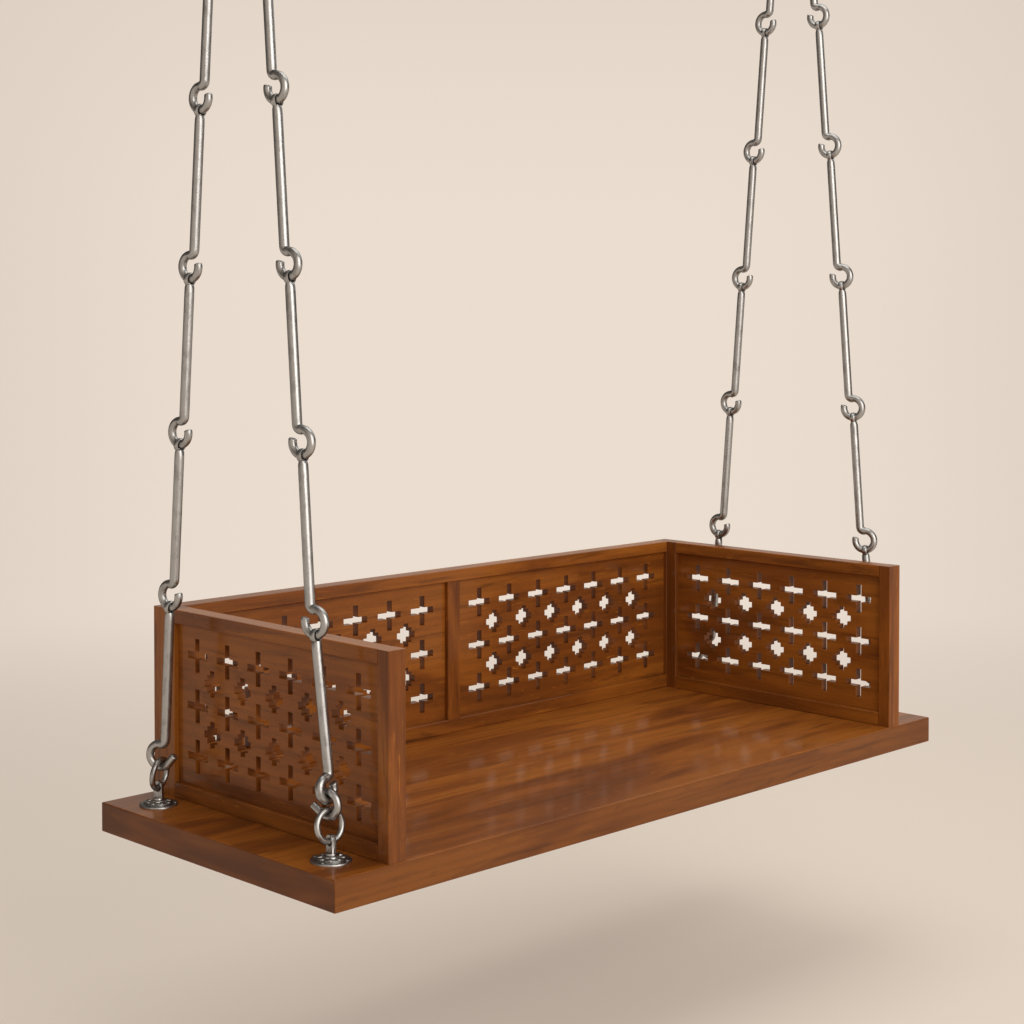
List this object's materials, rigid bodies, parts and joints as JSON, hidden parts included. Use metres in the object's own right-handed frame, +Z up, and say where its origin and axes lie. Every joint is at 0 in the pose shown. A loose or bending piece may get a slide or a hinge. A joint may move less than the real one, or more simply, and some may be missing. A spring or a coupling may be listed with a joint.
{
  "type": "jhoola swing",
  "caption": "Long wooden plank swing seat with a low pierced jali railing on its back and both ends, hung from ceiling hooks on steel rod chains.",
  "frame": {"origin": "centre of the plank's underside, which is the centre of the bottom of the part's box", "axes": "+X along the plank to the right as seen from the front, +Y to the railed back, +Z up to the ceiling"},
  "size_m": [1.52, 0.6, 2.0882],
  "materials": {
    "plank_teak": "polished, satin lacquer",
    "frame_teak": "polished, satin lacquer",
    "jali_teak": "polished, satin lacquer",
    "chain_steel": "drawn and bent bar, satin",
    "fitting_steel": "cast and polished",
    "fastener_steel": "zinc plated"
  },
  "bodies": {
    "ceiling": {"ceiling_hooks": "chain_steel", "ceiling_plates": "fitting_steel"},
    "left_hanger": {"left_hanger_ring": "chain_steel"},
    "left_chains": {"left_front_rod_1": "chain_steel", "left_front_rod_2": "chain_steel", "left_front_rod_3": "chain_steel", "left_front_rod_4": "chain_steel", "left_front_rod_5": "chain_steel", "left_front_rod_6": "chain_steel", "left_front_rod_7": "chain_steel", "left_front_open_link": "chain_steel", "left_back_rod_1": "chain_steel", "left_back_rod_2": "chain_steel", "left_back_rod_3": "chain_steel", "left_back_rod_4": "chain_steel", "left_back_rod_5": "chain_steel", "left_back_rod_6": "chain_steel", "left_back_rod_7": "chain_steel"},
    "seat": {"plank": "plank_teak", "back_left_stile": "frame_teak", "back_right_stile": "frame_teak", "back_top_rail": "frame_teak", "back_bottom_rail": "frame_teak", "back_mullion": "frame_teak", "back_left_jali": "jali_teak", "back_right_jali": "jali_teak", "left_front_stile": "frame_teak", "left_rear_stile": "frame_teak", "left_top_rail": "frame_teak", "left_bottom_rail": "frame_teak", "left_jali": "jali_teak", "right_front_stile": "frame_teak", "right_rear_stile": "frame_teak", "right_top_rail": "frame_teak", "right_bottom_rail": "frame_teak", "right_jali": "jali_teak", "wood_screws": "fastener_steel", "anchor_rings": "chain_steel", "eye_bolts": "fitting_steel", "rose_plates": "fitting_steel", "rose_screws": "fastener_steel", "bolt_washers": "fastener_steel", "bolt_nuts": "fastener_steel"},
    "right_hanger": {"right_hanger_ring": "chain_steel"},
    "right_chains": {"right_front_rod_1": "chain_steel", "right_front_rod_2": "chain_steel", "right_front_rod_3": "chain_steel", "right_front_rod_4": "chain_steel", "right_front_rod_5": "chain_steel", "right_front_rod_6": "chain_steel", "right_front_rod_7": "chain_steel", "right_front_open_link": "chain_steel", "right_back_rod_1": "chain_steel", "right_back_rod_2": "chain_steel", "right_back_rod_3": "chain_steel", "right_back_rod_4": "chain_steel", "right_back_rod_5": "chain_steel", "right_back_rod_6": "chain_steel", "right_back_rod_7": "chain_steel"}
  },
  "joints": [
    {"name": "swing", "type": "hinge", "parent": "ceiling", "child": "left_hanger", "pos_m": [-0.702, 0, 2.00776], "axis": [1, 0, 0], "range_deg": [-30, 30]},
    {"name": "sway", "type": "hinge", "parent": "left_hanger", "child": "left_chains", "pos_m": [-0.702, 0, 1.96126], "axis": [0, 1, 0], "range_deg": [-6.5, 6.5]},
    {"name": "seat_level", "type": "hinge", "parent": "left_chains", "child": "seat", "pos_m": [-0.702, 0, 0.12241], "axis": [0, 1, 0], "range_deg": [-6.5, 6.5]},
    {"name": "right_swing", "type": "hinge", "parent": "ceiling", "child": "right_hanger", "pos_m": [0.702, 0, 2.00776], "axis": [1, 0, 0], "range_deg": [-30, 30]},
    {"name": "right_sway", "type": "hinge", "parent": "right_hanger", "child": "right_chains", "pos_m": [0.702, 0, 1.96126], "axis": [0, 1, 0], "range_deg": [-6.5, 6.5]}
  ],
  "couplings": [
    {"joint": "seat_level", "follows": "sway", "ratio": -1},
    {"joint": "right_swing", "follows": "swing", "ratio": 1},
    {"joint": "right_sway", "follows": "sway", "ratio": 1}
  ]
}
